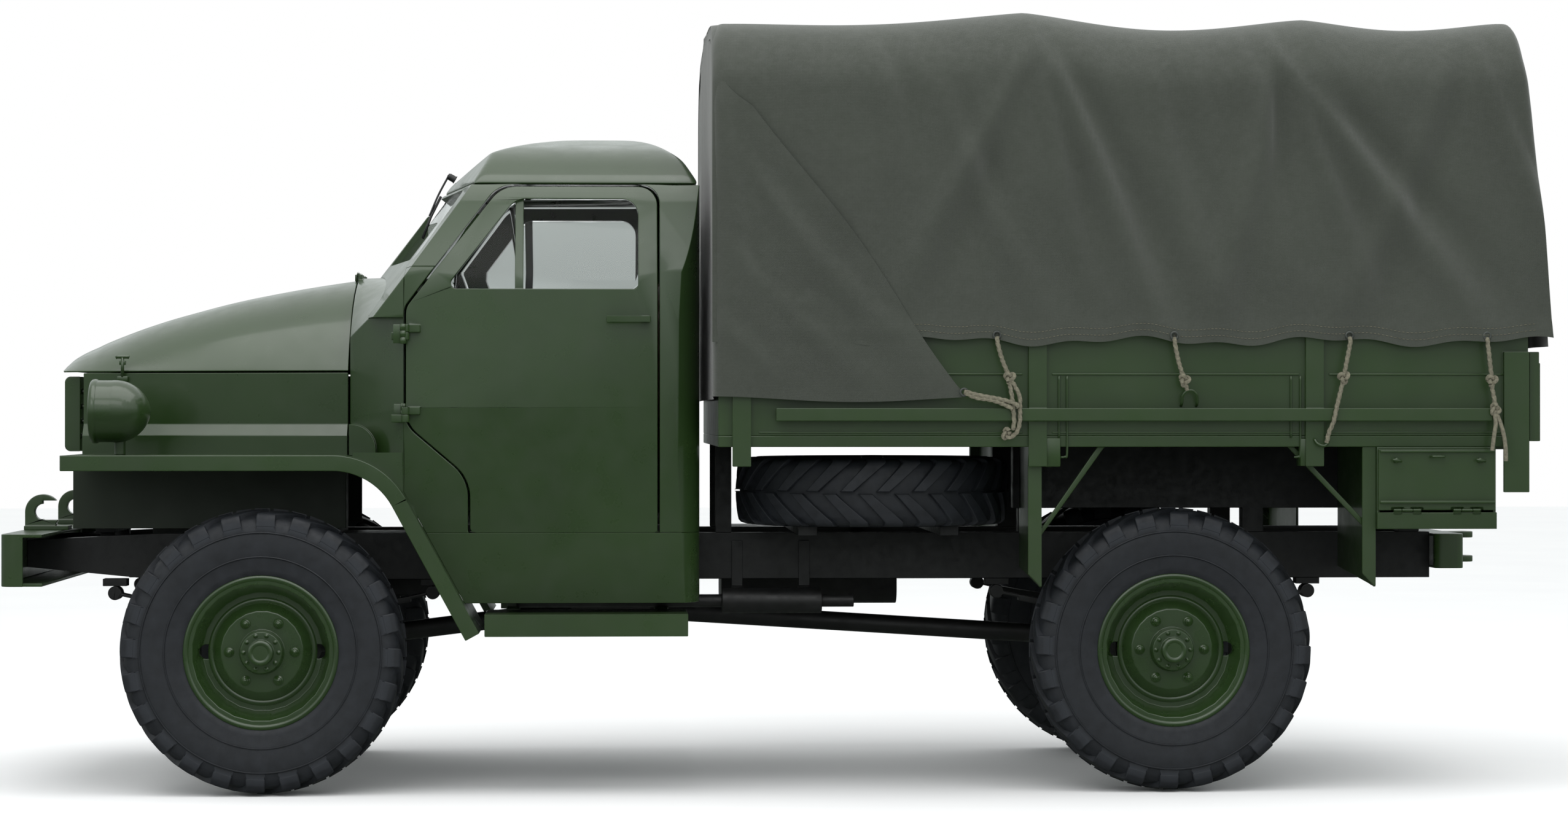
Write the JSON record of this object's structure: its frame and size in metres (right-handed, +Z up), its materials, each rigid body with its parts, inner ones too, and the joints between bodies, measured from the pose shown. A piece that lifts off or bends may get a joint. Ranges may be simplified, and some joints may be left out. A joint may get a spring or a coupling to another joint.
{
  "type": "military cargo truck",
  "caption": "Light four-wheel-drive military cargo truck with a hooded cab, flat fenders and a canvas-covered bed.",
  "frame": {"origin": "on the ground below the middle of the truck's box", "axes": "+X forward, +Y to the driver's left, +Z up"},
  "size_m": [5.58, 2.2, 2.8786],
  "materials": {
    "body_green": "glossy dark green enamel",
    "bed_green": "satin dark green paint",
    "chassis_black": "satin black chassis paint",
    "wheel_green": "glossy dark green enamel",
    "tyre": "matt blue-black rubber",
    "glass": "clear flat glass",
    "lens": "fluted clear glass",
    "canvas": "dull grey-green canvas",
    "seat": "dark brown leatherette",
    "engine_iron": "painted cast iron",
    "grip": "black hard plastic"
  },
  "bodies": {
    "chassis": {"inner_aprons": "body_green", "front_bumper": "body_green", "tow_hooks": "body_green", "cab_roof": "body_green", "windscreen_frame": "body_green", "cab_cowl": "body_green", "cab_back": "body_green", "cab_sills": "body_green", "running_boards": "body_green", "hood_sides": "body_green", "front_fenders": "body_green", "grille_guard": "body_green", "headlamps": "body_green", "rear_beam": "body_green", "bed_floor": "bed_green", "bed_sides": "bed_green", "bed_front": "bed_green", "tool_box": "bed_green", "rear_mudguards": "bed_green", "frame": "chassis_black", "leaf_springs": "chassis_black", "front_axle": "chassis_black", "rear_axle": "chassis_black", "transmission": "chassis_black", "drive_shafts": "chassis_black", "exhaust": "chassis_black", "fuel_tank": "chassis_black", "bed_sills": "chassis_black", "cover_bows": "chassis_black", "spare_carrier": "chassis_black", "cab_floor": "chassis_black", "seat_box": "chassis_black", "steering_column": "chassis_black", "radiator": "chassis_black", "spare_rim": "wheel_green", "spare_tyre": "tyre", "cab_glass": "glass", "headlamp_lenses": "lens", "cover": "canvas", "seat": "seat", "engine": "engine_iron"},
    "hood": {"hood": "body_green"},
    "door_left": {"door_left": "body_green", "door_glass_left": "glass"},
    "door_right": {"door_right": "body_green", "door_glass_right": "glass"},
    "knuckle_left": {"knuckle_left": "chassis_black"},
    "knuckle_right": {"knuckle_right": "chassis_black"},
    "steering_wheel": {"steering_wheel": "grip"},
    "tailgate": {"tailgate": "bed_green"},
    "tool_box_door": {"tool_box_door": "bed_green"},
    "wheel_front_left": {"tyre_front_left": "tyre", "rim_front_left": "wheel_green"},
    "wheel_front_right": {"tyre_front_right": "tyre", "rim_front_right": "wheel_green"},
    "wheel_rear_left": {"tyre_rear_left": "tyre", "rim_rear_left": "wheel_green"},
    "wheel_rear_right": {"tyre_rear_right": "tyre", "rim_rear_right": "wheel_green"}
  },
  "joints": [
    {"name": "hood_hinge", "type": "hinge", "parent": "chassis", "child": "hood", "pos_m": [1.571, 0, 1.908], "axis": [0, -1, 0], "range_deg": [0, 45]},
    {"name": "door_left_hinge", "type": "hinge", "parent": "chassis", "child": "door_left", "pos_m": [1.348, 0.898, 1.4], "axis": [0, 0, -1], "range_deg": [0, 65]},
    {"name": "door_right_hinge", "type": "hinge", "parent": "chassis", "child": "door_right", "pos_m": [1.348, -0.898, 1.4], "axis": [0, 0, 1], "range_deg": [0, 65]},
    {"name": "steer_left", "type": "hinge", "parent": "chassis", "child": "knuckle_left", "pos_m": [1.865, 0.64, 0.517], "axis": [0, 0, 1], "range_deg": [-28, 28]},
    {"name": "steer_right", "type": "hinge", "parent": "chassis", "child": "knuckle_right", "pos_m": [1.865, -0.64, 0.517], "axis": [0, 0, 1], "range_deg": [-28, 28]},
    {"name": "steering_wheel_turn", "type": "hinge", "parent": "chassis", "child": "steering_wheel", "pos_m": [1.01, 0.4, 1.59], "axis": [-0.5169, 0, 0.8561], "range_deg": [-574, 574]},
    {"name": "tailgate_hinge", "type": "hinge", "parent": "chassis", "child": "tailgate", "pos_m": [-2.725, 0, 1.253], "axis": [0, -1, 0], "range_deg": [0, 90]},
    {"name": "tool_box_door_hinge", "type": "hinge", "parent": "chassis", "child": "tool_box_door", "pos_m": [-2.364, 1.076, 1.029], "axis": [-1, 0, 0], "range_deg": [0, 100]},
    {"name": "wheel_front_left_spin", "type": "hinge", "parent": "knuckle_left", "child": "wheel_front_left", "pos_m": [1.865, 0.8, 0.517], "axis": [0, 1, 0], "continuous": true},
    {"name": "wheel_front_right_spin", "type": "hinge", "parent": "knuckle_right", "child": "wheel_front_right", "pos_m": [1.865, -0.8, 0.517], "axis": [0, 1, 0], "continuous": true},
    {"name": "wheel_rear_left_spin", "type": "hinge", "parent": "chassis", "child": "wheel_rear_left", "pos_m": [-1.435, 0.8, 0.517], "axis": [0, 1, 0], "continuous": true},
    {"name": "wheel_rear_right_spin", "type": "hinge", "parent": "chassis", "child": "wheel_rear_right", "pos_m": [-1.435, -0.8, 0.517], "axis": [0, 1, 0], "continuous": true}
  ],
  "couplings": [
    {"joint": "steer_right", "follows": "steer_left", "ratio": 1},
    {"joint": "steering_wheel_turn", "follows": "steer_left", "ratio": 20.5}
  ]
}
